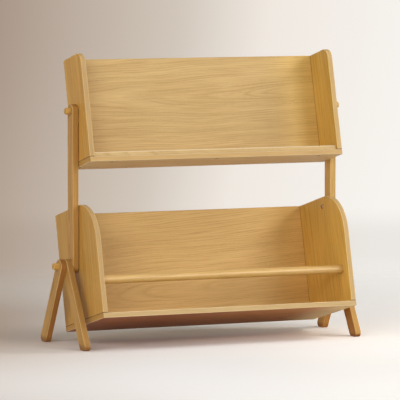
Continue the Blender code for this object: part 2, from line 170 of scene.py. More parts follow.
# the rings: how wide they are, how the pith bows and wanders along the board, and how uneven the years are
oakRings = {
    "wide": 0.0060,
    "bulge": 0.1,
    "drift": 0.030,
    "waver": 0.004,
    "sway": 0.5,
    "uneven": 1.4,
}
# patterns that follow the rings: waves per ring and per metre along the grain, then detail and roughness
oakYears = {
    "yearly": (0.55, 1.5, 2.0, 0.6),
    "flow": (1.6, 4.0, 2.0, 0.6),
    "fade": (0.9, 6.0, 1.0, 0.5),
}
# where in a year its dark line opens and closes, how it comes and goes, and how far off the heart it is full
oakLine = {"opens": (0.0, 0.06), "closes": (0.08, 0.50), "shown": (0.36, 0.62), "offHeart": (0.004, 0.035)}
oakPits = {"deep": (0.56, 0.70), "early": (0.40, 0.65), "share": 0.40}
# how much each pattern turns the light tone into the deep one
oakShade = {
    "middle": 0.37,
    "line": 0.40,
    "yearly": 0.35,
    "flow": 0.70,
    "dashes": 0.95,
    "fibres": 0.50,
    "cloud": 0.40,
}
# how squarely a face looks along an axis of its board before it counts as one of these
oakFaces = {
    "under": (0.3, 0.7),
    "banded": (0.60, 0.85),
    "flank": (0.35, 0.75),
    "endGrain": (0.45, 0.95),
    "easedFrom": (0.10, 0.40),
    "easedTo": (0.80, 0.96),
}
# marks: how far painted shade reaches round a screw hole, how dark end grain, feet and board ends are, and how
# much of a mark's reach is full
oakMarks = {
    "crushed": (0.0042, 0.0068),
    "endGrain": 0.6,
    "foot": 0.95,
    "footFull": 0.3,
    "seamFull": 0.7,
    "ends": 0.40,
    "endsFull": 0.6,
}
oakFinish = {
    "roughness": 0.52,
    "gloss": 0.25,
    "bump": 0.14,
    "bumpDeep": 0.0006,
    "dashesRough": 0.10,
    "pitsRough": 0.14,
    "fibresDeep": 0.40,
    "pitsDeep": 0.8,
    "dashesDeep": 0.2,
}
oakSeed = 1.37  # sets the patterns of one piece apart from those of the piece made before it
pieceNumbers = count(1)


def tinted(tint):
    return {key: (*[value * share for value, share in zip(tone, tint)], 1.0) for key, tone in oakTones.items()}


def oakFigure(bench, a, c, d, seed, look):
    # rings round a pith, streaks and pores; a runs along the grain, c across it and d through the board
    def grain(pattern, sideways, shift):
        long, wide, detail, roughness = oakGrain[pattern]
        waves = bench.vector(a * long + shift, sideways * wide, d * wide)
        return bench.noise(waves, detail, roughness)

    # the grain wanders a little, then the distance from the pith counts the rings
    wander = look.get("drift", oakRings["drift"])
    bent = c - a * look.get("tilt", 0.0)
    bent = bent + grain("drift", c, seed).swing() * wander + grain("waver", c, seed).swing() * oakRings["waver"]
    startA, startC, deep = look["heart"]
    run = a - startA
    sway = grain("sway", c, -seed).swing() * wander * oakRings["sway"]
    level = run * run * look.get("bulge", oakRings["bulge"]) + sway + deep
    reach = (bent - startC) * (bent - startC) + (level + d) * (level + d)
    rings = reach.root() * (1 / look.get("ring", oakRings["wide"]))

    # streaks follow the rings, and each ring opens with a dark line that comes and goes along the board
    perRing, long, *noise = oakYears["yearly"]
    yearly = bench.noise(bench.vector(rings * perRing + seed, a * long, seed), *noise)
    perRing, long, *noise = oakYears["flow"]
    flow = bench.noise(bench.vector(a * long + seed, rings * perRing, seed), *noise)
    perRing, long, *noise = oakYears["fade"]
    fade = bench.noise(bench.vector(a * long - seed, rings * perRing, seed), *noise)
    year = (rings + yearly.swing() * oakRings["uneven"]).part()
    line = year.rise(*oakLine["opens"]) * (1.0 - year.rise(*oakLine["closes"])) * fade.rise(*oakLine["shown"])
    line = line * (bent - startC).size().rise(*oakLine["offHeart"], look.get("tips", 1.0), 1.0)
    dashes = grain("dashes", bent, -seed)
    fibres = grain("fibres", c, seed)
    clouds = bench.vector(a * oakCloud["along"], c * oakCloud["across"] + seed, d * oakCloud["across"])
    cloud = bench.noise(clouds, oakCloud["detail"])
    pits = grain("pores", bent, seed).rise(*oakPits["deep"]) * yearly.rise(*oakPits["early"])

    shade = line * look.get("lines", oakShade["line"])
    patterns = {"yearly": yearly, "flow": flow, "dashes": dashes, "fibres": fibres, "cloud": cloud}
    for key, pattern in patterns.items():
        shade = shade + pattern.swing() * oakShade[key]
    return shade * look.get("strength", 1.0) + oakShade["middle"], pits, dashes, fibres


def oak(name, box, lean, axes, look):
    # oak on the board that fills this box, with its grain, its faces and edges, and the marks of its place
    made = bpy.data.materials.new(name)
    bench = Bench(made)
    seed = next(pieceNumbers) * oakSeed
    tones = tinted(look["tint"])
    middle = (box[0] + box[1]) / 2
    place = bench.add("ShaderNodeTexCoord", out="Object")
    turn = {"Vector": place, "Location": -middle, "Rotation": (lean, 0.0, 0.0)}
    local = bench.apart(bench.add("ShaderNodeMapping", None, turn))
    turn = {"Vector": bench.add("ShaderNodeTexCoord", out="Normal"), "Rotation": (lean, 0.0, 0.0)}
    facing = bench.apart(bench.add("ShaderNodeMapping", {"vector_type": "NORMAL"}, turn))
    along, across, depth = axes
    a, c, d = local[along], local[across], local[depth]
    flat = facing[depth].size()
    shade, pits, dashes, fibres = oakFigure(bench, a, c, d, seed, look)
    colour = bench.mix(shade, tones["light"], tones["deep"])
    if "warmEnd" in look:
        # the right end of a back board takes warm light from the side board beside it
        start, end, tint = look["warmEnd"]
        warmer = tinted(tint)
        colour = bench.mix(a.rise(start, end), colour, bench.mix(shade, warmer["light"], warmer["deep"]))
    if "under" in look:
        # the lower face has tones of its own: painted shade under the lower bin, lighter towards its right end,
        # and painted light thrown up onto the upper one; a ring of painted shade lies round each screw hole
        paintedUnderside = tinted(look["under"])
        for start, end, tint in look["turns"]:
            other = tinted(tint)
            paintedUnderside = {key: bench.mix(a.rise(start, end), paintedUnderside[key], other[key]) for key in ("light", "deep")}
        lower = bench.mix(shade, paintedUnderside["light"], paintedUnderside["deep"])
        for spotX, spotY in look["spots"]:
            offX = a - (spotX - middle.x)
            offY = c - (spotY - middle.y)
            near = (offX * offX + offY * offY).root()
            lower = bench.mix(1.0 - near.rise(*oakMarks["crushed"]), lower, tones["joint"])
        colour = bench.mix((0.0 - facing[depth]).rise(*oakFaces["under"]), colour, lower)
    colour = bench.mix(pits * oakPits["share"], colour, tones["pore"])

    # faces across the grain: end grain on solid oak, a glued edge band on a veneered board
    if look.get("banded"):
        onEdge = 1.0 - flat.rise(*oakFaces["banded"])
        bands = bench.vector(a * oakBand["along"] + seed, c * oakBand["along"], d * oakBand["thick"])
        band = bench.noise(bands, *oakBand["noise"]) * oakBand["contrast"] - oakBand["offset"]
        edging = tinted(look.get("edgeTint", plain))
        ending = tinted(look.get("endTint", look.get("edgeTint", plain)))
        onEnd = facing[along].size().rise(*oakFaces["banded"])
        strip = [bench.mix(onEnd, edging[key], ending[key]) for key in ("light", "deep")]
        colour = bench.mix(onEdge, colour, bench.mix(band, *strip))
    else:
        # a limb's side faces take their own tint: painted light and shade for how the lamps fall on them
        if "flank" in look:
            flank = tinted(look["flank"])
            onFlank = 1.0 - flat.rise(*oakFaces["flank"])
            colour = bench.mix(onFlank, colour, bench.mix(shade, flank["light"], flank["deep"]))
        onEnd = facing[along].size().rise(*oakFaces["endGrain"])
        colour = bench.mix(onEnd * look.get("endGrain", oakMarks["endGrain"]), colour, tones["end"])
    # eased edges are painted paler than the faces beside them: a painted highlight where their rounding catches
    # the light
    edgeHighlight = flat.rise(*oakFaces["easedFrom"]) * (1.0 - flat.rise(*oakFaces["easedTo"]))
    colour = bench.mix(edgeHighlight * look.get("edgeHighlight", 0.0), colour, tones["edgeHighlight"])
    if "foot" in look:
        # a foot is darker near the floor
        low = 1.0 - bench.apart(place)[2].rise(look["foot"] * oakMarks["footFull"], look["foot"])
        colour = bench.mix(low * oakMarks["foot"], colour, tones["end"])
    if "seam" in look:
        # the dark line of the joint that the piece stands on
        base = (box[0].z - box[1].z) / 2
        inSeam = 1.0 - local[2].rise(base + look["seam"] * oakMarks["seamFull"], base + look["seam"])
        colour = bench.mix(inSeam, colour, tones["joint"])
    if "ends" in look:
        # and the faint lines where its ends meet the boards beside it
        half = (box[1][along] - box[0][along]) / 2
        inEnds = a.size().rise(half - look["ends"], half - look["ends"] * oakMarks["endsFull"])
        colour = bench.mix(inEnds * oakMarks["ends"], colour, tones["joint"])

    finish = oakFinish
    rough = dashes.swing() * finish["dashesRough"] + pits * finish["pitsRough"]
    rough = rough + look.get("roughness", finish["roughness"])
    height = fibres.swing() * finish["fibresDeep"] - pits * finish["pitsDeep"]
    height = height + dashes.swing() * finish["dashesDeep"]
    given = {"Strength": finish["bump"], "Distance": finish["bumpDeep"], "Height": height}
    bump = bench.add("ShaderNodeBump", None, given)
    given = {
        "Base Color": colour,
        "Roughness": rough,
        "Normal": bump,
        "Specular IOR Level": look.get("gloss", finish["gloss"]),
    }
    bench.output(bench.add("ShaderNodeBsdfPrincipled", None, given))
    return made


# how close an edge lies to the place where it is looked for, and corners to each other where they are merged
nearly = 0.0001
closely = 0.00001
merging = 0.000001
square = 0.9  # a face whose normal reaches this looks straight along an axis
sharpFrom = radians(30)
smoothUpTo = radians(32)


def select(piece=None):
    # leaves only this piece selected and active
    bpy.ops.object.select_all(action="DESELECT")
    if piece:
        piece.select_set(True)
        bpy.context.view_layer.objects.active = piece


def edit(piece, mode="EDGE"):
    select(piece)
    bpy.ops.object.mode_set(mode="EDIT")
    bpy.ops.mesh.select_mode(type=mode)
    bpy.ops.mesh.select_all(action="DESELECT")


def pickEdges(piece, test, among=False):
    # selects the edges that pass the test, of all or only of those that are selected
    shape = bmesh.from_edit_mesh(piece.data)
    for edge in shape.edges:
        edge.select_set((edge.select or not among) and test(edge.verts[0].co, edge.verts[1].co))
    bmesh.update_edit_mesh(piece.data)


def pickFaces(piece, test):
    # selects the faces whose middle and normal pass the test
    shape = bmesh.from_edit_mesh(piece.data)
    for face in shape.faces:
        face.select_set(test(face.calc_center_median(), face.normal))
    bmesh.update_edit_mesh(piece.data)


def leave():
    bpy.ops.object.mode_set(mode="OBJECT")


def leaningBox(node, lean=0.0):
    # lowest and highest corner of a CAD node, measured square to its own faces
    upright = Matrix.Rotation(lean, 3, "X")
    corners = [upright @ vertex.co for vertex in nodes[node].data.vertices]
    low = Vector([min(corner[i] for corner in corners) for i in range(3)])
    high = Vector([max(corner[i] for corner in corners) for i in range(3)])
    return low, high


def settle(piece, lean=0.0):
    # turns an upright piece about the X axis to its own lean, and puts its place into its mesh
    select(piece)
    if lean:
        piece.rotation_euler.x = -lean
    bpy.ops.object.transform_apply(location=True, rotation=True, scale=True)


def blank(name, low, high):
    # a sawn blank at its size and place, still upright
    select()
    bpy.ops.mesh.primitive_cube_add(size=1, location=(low + high) / 2, scale=high - low)
    piece = bpy.context.active_object
    piece.name = name
    piece.data.name = name
    settle(piece)
    return piece


def roundCorner(piece, radius, steps, test, inner=pi / 4):
    # rounds the edges that pass the test with a tangent arc; inner is half the angle between the two faces
    edit(piece)
    pickEdges(piece, test)
    arc = (1 - 0.5 / (1 + sin(inner))) ** 2
    offset = radius / tan(inner)
    bpy.ops.mesh.bevel(offset=offset, segments=steps, profile=arc, affect="EDGES", clamp_overlap=False)
    bpy.ops.mesh.select_all(action="SELECT")
    bpy.ops.mesh.remove_doubles(threshold=closely)
    leave()


def easeEdges(piece, radius, steps, joint=None):
    # eases every sharp edge that is left, apart from those of a joint
    edit(piece)
    bpy.ops.mesh.edges_select_sharp(sharpness=sharpFrom)
    if joint:
        pickEdges(piece, lambda p, q: not joint(p, q), among=True)
    bpy.ops.mesh.bevel(offset=radius, segments=steps, profile=0.5, affect="EDGES", clamp_overlap=False)
    bpy.ops.mesh.select_all(action="SELECT")
    bpy.ops.mesh.remove_doubles(threshold=merging)
    bpy.ops.mesh.normals_make_consistent(inside=False)
    leave()


def centreOf(node):
    # middle and radius of a round CAD node that lies along X
    low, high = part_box(node)
    return (low + high) / 2, (high.z - low.z) / 2


def carve(piece, bit):
    # takes the shape of the bit out of the piece
    select(piece)
    hole = piece.modifiers.new("hole", "BOOLEAN")
    hole.operation = "DIFFERENCE"
    hole.solver = "EXACT"
    hole.object = bit
    bpy.ops.object.modifier_apply(modifier=hole.name)
    bpy.data.objects.remove(bit, do_unlink=True)


def rod(centre, radius, start, end, sides=96):
    # a round bar along X from start to end
    select()
    middle = ((start + end) / 2, centre.y, centre.z)
    bpy.ops.mesh.primitive_cylinder_add(vertices=sides, radius=radius, depth=end - start, location=middle,
                                        rotation=(0, pi / 2, 0))
    return bpy.context.active_object


def drill(piece, centre, radius, start, end):
    # a hole along X from start to end
    carve(piece, rod(centre, radius, start, end))


def drawOut(piece, test, step, share):
    # extrudes the faces that pass the test along Z, and scales the new end about the Z axis
    edit(piece, "FACE")
    pickFaces(piece, test)
    bpy.ops.mesh.extrude_region_move(TRANSFORM_OT_translate={"value": (0, 0, step)})
    bpy.ops.transform.resize(value=(share, share, 1), center_override=(0, 0, 0))
    leave()


def smooth(piece):
    select(piece)
    bpy.ops.object.shade_smooth_by_angle(angle=smoothUpTo)
    even = piece.modifiers.new("even shading", "WEIGHTED_NORMAL")
    even.keep_sharp = True
    bpy.ops.object.modifier_apply(modifier=even.name)


def done(piece, look, slot, *replaced):
    # gives the piece its finish and its body
    smooth(piece)
    piece.data.materials.clear()
    piece.data.materials.append(look)
    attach(piece, "root")
    if replaced:
        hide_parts(*replaced)


# the two bins, each tilted back by its lean
bins = {
    "lean": radians(14),
    "edge": 0.002,
    "edgeSteps": 4,
    "seam": 0.0005,
    "seamSteps": 2,
    "frontEdge": 0.003,
    "fit": 0.0003,
    "sink": 0.003,
    "sinkSides": 40,
    "sinkPast": 0.002,
    "pilot": 0.0021,
    "outside": 0.5,
}
binCorners = {"upper": (0.032, 16), "lower": (0.118, 40)}  # radius and steps of the side boards' front corners


def atFrontTop(low, high):
    return lambda p, q: min(p.z, q.z) > high.z - nearly and max(p.y, q.y) < low.y + nearly


def jointOf(name, low, high):
    # the edges along which a board meets its neighbours
    def test(p, q):
        standing = max(p.z, q.z) < low.z + nearly
        ends = abs(p.x - q.x) < nearly and abs(p.x) > high.x - nearly
        if "bottom" in name:
            return min(p.z, q.z) > high.z - nearly and max(p.y, q.y) > low.y + bins["frontEdge"]
        return standing or ("back" in name and ends)
    return test


def screwSpots(tier):
    # where the screws of a lip are driven from below, measured square to the boards
    boxes = [leaningBox(node, bins["lean"]) for node in nodes if node.startswith(tier + "_lip_screw")]
    return [((low.x + high.x) / 2, (low.y + high.y) / 2) for low, high in boxes]


def sinkScrews(piece, tier):
    # countersunk holes under the heads of the screws that are driven from below
    for node in nodes:
        if node.startswith(tier) and "screw" in node:
            low, high = leaningBox(node, bins["lean"])
            wide = (high.x - low.x) / 2 + bins["fit"]
            deep = bins["sink"] + bins["fit"]
            middle = ((low.x + high.x) / 2, (low.y + high.y) / 2, low.z + deep / 2)
            select()
            bpy.ops.mesh.primitive_cone_add(vertices=bins["sinkSides"], radius1=wide, radius2=bins["pilot"],
                                            depth=deep, location=middle)
            bit = bpy.context.active_object
            settle(bit)
            edit(bit, "FACE")
            pickFaces(bit, lambda middle, normal: normal.z < -square)
            bpy.ops.mesh.extrude_region_move(TRANSFORM_OT_translate={"value": (0, 0, -bins["sinkPast"])})
            leave()
            settle(bit, bins["lean"])
            carve(piece, bit)


def makeBoard(name, axes, look, corner=None):
    low, high = leaningBox(name, bins["lean"])
    piece = blank(name + "_oak", low, high)
    if corner:
        roundCorner(piece, *corner, atFrontTop(low, high))
    easeEdges(piece, bins["edge"], bins["edgeSteps"], jointOf(name, low, high))
    easeEdges(piece, bins["seam"], bins["seamSteps"])
    settle(piece, bins["lean"])
    return piece, oak(name + " oak", (low, high), bins["lean"], axes, look)


backLook = {
    "upper": {
        "banded": True,
        "heart": (1.0, 0.038, 0.006),
        "bulge": 0.025,
        "ring": 0.0058,
        "tilt": 0.025,
        "tips": 0.7,
        "ends": 0.002,
        "tint": (0.91, 0.93, 0.89),
        "warmEnd": (0.22, 0.40, (1.17, 1.17, 0.80)),
        "strength": 1.1,
    },
    # the lower back's tint is painted lighter, against the shade that the upper bin throws on it
    "lower": {
        "banded": True,
        "heart": (0.9, -0.068, 0.008),
        "bulge": 0.032,
        "ring": 0.0056,
        "tilt": 0.05,
        "tips": 0.35,
        "ends": 0.002,
        "tint": (1.04, 1.02, 0.88),
        "warmEnd": (0.22, 0.40, (1.18, 1.11, 0.82)),
        "strength": 1.1,
    },
}
bottomLook = {
    "upper": {
        "banded": True,
        "heart": (0.30, -0.10, 0.075),
        "tint": (0.92, 0.94, 0.88),
        # its lower face is painted lighter, for light thrown up from below
        "under": (1.18, 1.24, 1.32),
        "turns": [(-0.30, 0.34, (1.18, 1.26, 1.40))],
        "edgeTint": (0.89, 0.87, 0.80),
        "endTint": (0.88, 0.75, 0.47),
        "edgeHighlight": 0.6,
    },
    "lower": {
        "banded": True,
        "heart": (0.30, -0.10, 0.075),
        "tint": (1.02, 0.98, 0.84),
        # its lower face is painted dark, for the shade under the bin, and lighter towards its right end, for
        # light from the floor
        "under": (0.47, 0.21, 0.10),
        "turns": [(-0.30, 0.34, (0.74, 0.46, 0.29)), (0.25, 0.39, (1.12, 1.22, 1.30))],
        "edgeTint": (0.84, 0.89, 0.96),
        "endTint": (0.82, 0.67, 0.40),
        "edgeHighlight": 0.6,
    },
}
sideLook = {
    "left": {
        "banded": True,
        "heart": (0.5, 0.30, 0.09),
        "ring": 0.013,
        "lines": 0.34,
        "tint": (1.07, 0.88, 0.47),
        "edgeTint": (0.86, 0.85, 0.86),
        "strength": 1.35,
        "seam": 0.0016,
        "edgeHighlight": 0.6,
    },
    "right": {
        "banded": True,
        "heart": (0.5, -0.28, 0.09),
        "ring": 0.013,
        "lines": 0.34,
        "tint": (1.08, 0.98, 0.50),
        "edgeTint": (0.82, 0.82, 0.80),
        "strength": 1.35,
        "seam": 0.0016,
        "edgeHighlight": 0.6,
    },
}

# how much lighter each side board's faces and edge band are than the look of its hand: painted light and shade
# for where the board stands
sideLightShares = {
    "upper_left_side": (1.02, 0.91),
    "upper_right_side": (0.99, 1.10),
    "lower_left_side": (0.87, 0.90),
    "lower_right_side": (1.08, 1.06),
}

for tier, corner in binCorners.items():
    piece, surface = makeBoard(tier + "_back", (0, 2, 1), backLook[tier])
    done(piece, surface, "oak_veneer_back", tier + "_back")
    piece, surface = makeBoard(tier + "_bottom", (0, 1, 2), dict(bottomLook[tier], spots=screwSpots(tier)))
    sinkScrews(piece, tier)
    done(piece, surface, "oak_veneer_panel", tier + "_bottom")
    for hand, side in (("left", -1), ("right", 1)):
        node = f"{tier}_{hand}_side"
        look = dict(sideLook[hand])
        for key, share in zip(("tint", "edgeTint"), sideLightShares[node]):
            look[key] = [value * share for value in look[key]]
        piece, surface = makeBoard(node, (2, 1, 0), look, corner)
        low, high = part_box(f"{hand}_{tier}_dowel")
        centre, radius = centreOf(f"{hand}_{tier}_dowel")
        face = min(abs(low.x), abs(high.x)) - bins["fit"]
        drill(piece, centre, radius + bins["fit"], *sorted((side * face, side * bins["outside"])))
        if tier == "lower":
            low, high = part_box("lower_front_rail")
            centre, radius = centreOf("lower_front_rail")
            drill(piece, centre, radius + bins["fit"], low.x - bins["fit"], high.x + bins["fit"])
        done(piece, surface, "oak_veneer_panel", node)
print("bins made")

lip = {"round": 0.005, "roundSteps": 8, "ease": 0.001, "easeSteps": 3}
low, high = leaningBox("upper_front_lip", bins["lean"])
strip = blank("upper_front_lip_oak", low, high)
roundCorner(strip, lip["round"], lip["roundSteps"], atFrontTop(low, high))
easeEdges(strip, lip["ease"], lip["easeSteps"])
settle(strip, bins["lean"])
lipLook = {"heart": (0.2, 0.01, 0.05), "tint": (0.97, 1.02, 1.05), "seam": 0.0014, "edgeHighlight": 0.7}
surface = oak("lip oak", (low, high), bins["lean"], (0, 2, 1), lipLook)
done(strip, surface, "solid_oak", "upper_front_lip")

rail = {"ease": 0.0008, "easeSteps": 2}
low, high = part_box("lower_front_rail")
bar = rod(*centreOf("lower_front_rail"), low.x, high.x)
bar.name = "lower_front_rail_oak"
settle(bar)
easeEdges(bar, rail["ease"], rail["easeSteps"])
railLook = {"heart": (0.1, 0.0, 0.04), "tint": (0.96, 0.90, 0.64), "roughness": 0.36, "gloss": 0.6}
done(bar, oak("rail oak", (low, high), 0.0, (0, 1, 2), railLook), "solid_oak", "lower_front_rail")
print("lip and rail made")


# posts, legs and dowels
stand = {
    "frontLean": radians(31),
    "rearLean": radians(-29),
    "edge": 0.002,
    "edgeSteps": 4,
    "roundSteps": 24,
    "footRound": 0.012,
    "footSteps": 8,
    "spare": 0.05,
    "past": 0.01,
    "fit": 0.0003,
}
limbLook = {
    "heart": (0.3, 0.01, 0.03),
    "bulge": 0.05,
    "ring": 0.0035,
    "drift": 0.012,
    "strength": 1.6,
    "edgeHighlight": 0.7,
}
# each limb's tint holds painted light and shade for where it stands as well as its oak, and its side faces get
# their own
limbTintsAndLight = {
    "left_post": {"tint": (0.88, 0.70, 0.42), "flank": (0.80, 0.64, 0.38)},
    "right_post": {"tint": (1.26, 1.16, 0.76), "flank": (0.92, 0.88, 0.66)},
    "left_front_leg": {"tint": (0.78, 0.64, 0.38), "flank": (0.64, 0.51, 0.31), "foot": 0.023},
    "left_rear_leg": {"tint": (0.79, 0.64, 0.38), "flank": (0.60, 0.38, 0.19), "foot": 0.021},
    "right_front_leg": {"tint": (0.71, 0.48, 0.25), "flank": (0.84, 0.72, 0.43), "foot": 0.012},
    "right_rear_leg": {"tint": (1.28, 1.02, 0.56), "flank": (0.82, 0.60, 0.32), "foot": 0.020},
}
dowelLook = {
    "heart": (0.0, 0.01, 0.03),
    "ring": 0.003,
    "drift": 0.004,
    "tint": (1.03, 0.90, 0.56),
    "endGrain": 0.25,
}
dowelTints = {"right_upper_dowel": (1.05, 1.10, 0.92)}
dowelEnd = {"round": 0.004, "steps": 6}


def atSole(corner):
    # the edge of a foot that lies on the floor at this corner
    return lambda p, q: all(abs(end.z) < closely and abs(end.y - corner) < nearly for end in (p, q))


def makeLimb(node, lean, bores):
    # a post with two round ends, or a leg with one, cut off flat on the floor
    low, high = leaningBox(node, lean)
    half = (high.y - low.y) / 2
    foot = lean != 0
    if foot:
        low.z = low.z - stand["spare"]
    piece = blank(node + "_oak", low, high)
    ends = [lambda p, q: min(p.z, q.z) > high.z - nearly and abs(p.x - q.x) > nearly]
    if not foot:
        ends.append(lambda p, q: max(p.z, q.z) < low.z + nearly and abs(p.x - q.x) > nearly)
    for end in ends:
        roundCorner(piece, half, stand["roundSteps"], end)
    settle(piece, lean)
    if foot:
        edit(piece)
        bpy.ops.mesh.select_all(action="SELECT")
        bpy.ops.mesh.bisect(plane_co=(0, 0, 0), plane_no=(0, 0, 1), use_fill=True, clear_inner=True)
        leave()
        sole = [vertex.co.y for vertex in piece.data.vertices if abs(vertex.co.z) < closely]
        for towards, corner in ((-1, min(sole)), (1, max(sole))):
            # the leg leans, so one corner of its foot is sharper than the other
            inner = (pi / 2 + lean * towards) / 2
            roundCorner(piece, stand["footRound"], stand["footSteps"], atSole(corner), inner)
    easeEdges(piece, stand["edge"], stand["edgeSteps"])
    for place, radius in bores:
        drill(piece, place, radius + stand["fit"], low.x - stand["past"], high.x + stand["past"])
    look = dict(limbLook, **limbTintsAndLight[node])
    done(piece, oak(node + " oak", (low, high), lean, (2, 1, 0), look), "solid_oak", node)


def makeDowel(node, side):
    low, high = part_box(node)
    piece = rod(*centreOf(node), low.x, high.x)
    piece.name = node + "_oak"
    settle(piece)
    outer = high.x if side > 0 else low.x
    roundCorner(piece, dowelEnd["round"], dowelEnd["steps"],
                lambda p, q: abs(p.x - outer) < nearly and abs(q.x - outer) < nearly)
    look = dict(dowelLook, tint=dowelTints.get(node, dowelLook["tint"]))
    done(piece, oak(node + " oak", (low, high), 0.0, (0, 1, 2), look), "solid_oak", node)


for hand, side in (("left", -1), ("right", 1)):
    upper = centreOf(hand + "_upper_dowel")
    lower = centreOf(hand + "_lower_dowel")
    makeLimb(hand + "_post", 0.0, [upper, lower])
    makeLimb(hand + "_front_leg", stand["frontLean"], [lower])
    makeLimb(hand + "_rear_leg", stand["rearLean"], [lower])
    makeDowel(hand + "_upper_dowel", side)
    makeDowel(hand + "_lower_dowel", side)
print("stand made")


# metal, nylon and pins: fine specks on wide worn patches, each with its detail, roughness and waves per metre
speckle = {
    "fine": (3.0, 0.6, 900.0),
    "wide": (2.0, 0.5, 160.0),
    "patch": (0.35, 0.75),
    "paler": 1.35,
    "bump": 0.08,
    "bumpDeep": 0.0002,
}
finishes = {
    "dark_steel": {"colour": (0.16, 0.15, 0.14, 1.0), "roughness": 0.34, "metallic": 1.0, "speck": 0.2},
    "zinc_plated_steel": {"colour": (0.50, 0.48, 0.42, 1.0), "roughness": 0.36, "metallic": 1.0, "speck": 0.25},
    "black_nylon": {"colour": (0.020, 0.018, 0.016, 1.0), "roughness": 0.55, "metallic": 0.0, "speck": 0.2},
    "beech_pin": {"colour": (0.52, 0.33, 0.15, 1.0), "roughness": 0.6, "metallic": 0.0, "speck": 0.2},
    "burnished_steel": {"colour": (0.37, 0.23, 0.155, 1.0), "roughness": 0.20, "metallic": 1.0, "speck": 0.12},
}


def speckled(name, colour, roughness, metallic, speck):
    made = bpy.data.materials.new(name)
    bench = Bench(made)
    place = bench.add("ShaderNodeTexCoord", out="Object")
    fine = bench.noise(place, *speckle["fine"])
    wide = bench.noise(place, *speckle["wide"])
    worn = tuple(min(1.0, speckle["paler"] * value) for value in colour[:3]) + (1.0,)
    shade = bench.mix(wide.rise(*speckle["patch"]), colour, worn)
    rough = fine.swing() * speck + roughness
    given = {"Strength": speckle["bump"], "Distance": speckle["bumpDeep"], "Height": fine}
    bump = bench.add("ShaderNodeBump", None, given)
    given = {"Base Color": shade, "Roughness": rough, "Normal": bump, "Metallic": metallic}
    bench.output(bench.add("ShaderNodeBsdfPrincipled", None, given))
    return made


hardware = {key: speckled(key.replace("_", " "), **finish) for key, finish in finishes.items()}

screwShape = {
    "sides": 40,
    "head": 0.00375,
    "headDeep": 0.003,
    "rim": 0.0003,
    "rimShare": 0.97,
    "shank": 0.0019,
    "point": 0.004,
    "pointShare": 0.08,
    "crossWide": 0.0044,
    "crossThin": 0.0010,
    "crossDeep": 0.0017,
    "crossShare": 0.5,
    "digits": 5,
}


def makeScrew(length):
    # countersunk, its flat face at the origin and its point along Z, with a cross recess
    shape = screwShape
    straight = length - shape["headDeep"] - shape["point"]
    select()
    bpy.ops.mesh.primitive_cylinder_add(vertices=shape["sides"], radius=shape["shank"], depth=straight,
                                        location=(0, 0, shape["headDeep"] + straight / 2))
    screw = bpy.context.active_object
    settle(screw)
    cone = shape["headDeep"] - shape["rim"]
    drawOut(screw, lambda middle, normal: normal.z < -square, -cone, shape["head"] / shape["shank"])
    drawOut(screw, lambda middle, normal: normal.z < -square and middle.z < shape["headDeep"] / 2,
            -shape["rim"], shape["rimShare"])
    drawOut(screw, lambda middle, normal: normal.z > square, shape["point"], shape["pointShare"])
    for turn in (0, pi / 2):
        select()
        size = (shape["crossWide"], shape["crossThin"], 2 * shape["crossDeep"])
        bpy.ops.mesh.primitive_cube_add(size=1, location=(0, 0, 0), rotation=(0, 0, turn), scale=size)
        blade = bpy.context.active_object
        settle(blade)
        edit(blade, "FACE")
        pickFaces(blade, lambda middle, normal: normal.z > square)
        bpy.ops.transform.resize(value=(shape["crossShare"], shape["crossShare"], 1), center_override=(0, 0, 0))
        leave()
        carve(screw, blade)
    return screw


boltShape = {
    "sides": 72,
    "round": 0.0017,
    "roundSteps": 6,
    "headDeep": 0.0022,
    "shank": 0.003,
    "corners": 6,
    "socket": 0.004,
    "socketDeep": 0.0014,
    "tip": 0.0005,
    "tipSteps": 2,
}


def makeBolt(length, head):
    # flat round head with a hexagon socket, its face at the origin and its shank along Z
    shape = boltShape
    select()
    bpy.ops.mesh.primitive_cylinder_add(vertices=shape["sides"], radius=head, depth=shape["headDeep"],
                                        location=(0, 0, shape["headDeep"] / 2))
    bolt = bpy.context.active_object
    settle(bolt)
    edit(bolt, "FACE")
    pickFaces(bolt, lambda middle, normal: normal.z > square)
    bpy.ops.mesh.inset(thickness=head - shape["shank"])
    bpy.ops.mesh.extrude_region_move(TRANSFORM_OT_translate={"value": (0, 0, length - shape["headDeep"])})
    leave()
    roundCorner(bolt, shape["round"], shape["roundSteps"], lambda p, q: max(p.z, q.z) < closely)
    roundCorner(bolt, shape["tip"], shape["tipSteps"], lambda p, q: min(p.z, q.z) > length - closely)
    select()
    reach = shape["socket"] / 2 / cos(pi / shape["corners"])
    bpy.ops.mesh.primitive_cylinder_add(vertices=shape["corners"], radius=reach, depth=2 * shape["socketDeep"],
                                        location=(0, 0, 0))
    carve(bolt, bpy.context.active_object)
    return bolt


def placeAcross(piece, low, high):
    # turns a fastener from the Z axis to the X axis, its face on the side of the bins
    side = 1 if high.x > 0 else -1
    piece.rotation_euler.y = side * pi / 2
    piece.location = (low.x if side > 0 else high.x, (low.y + high.y) / 2, (low.z + high.z) / 2)
    settle(piece)


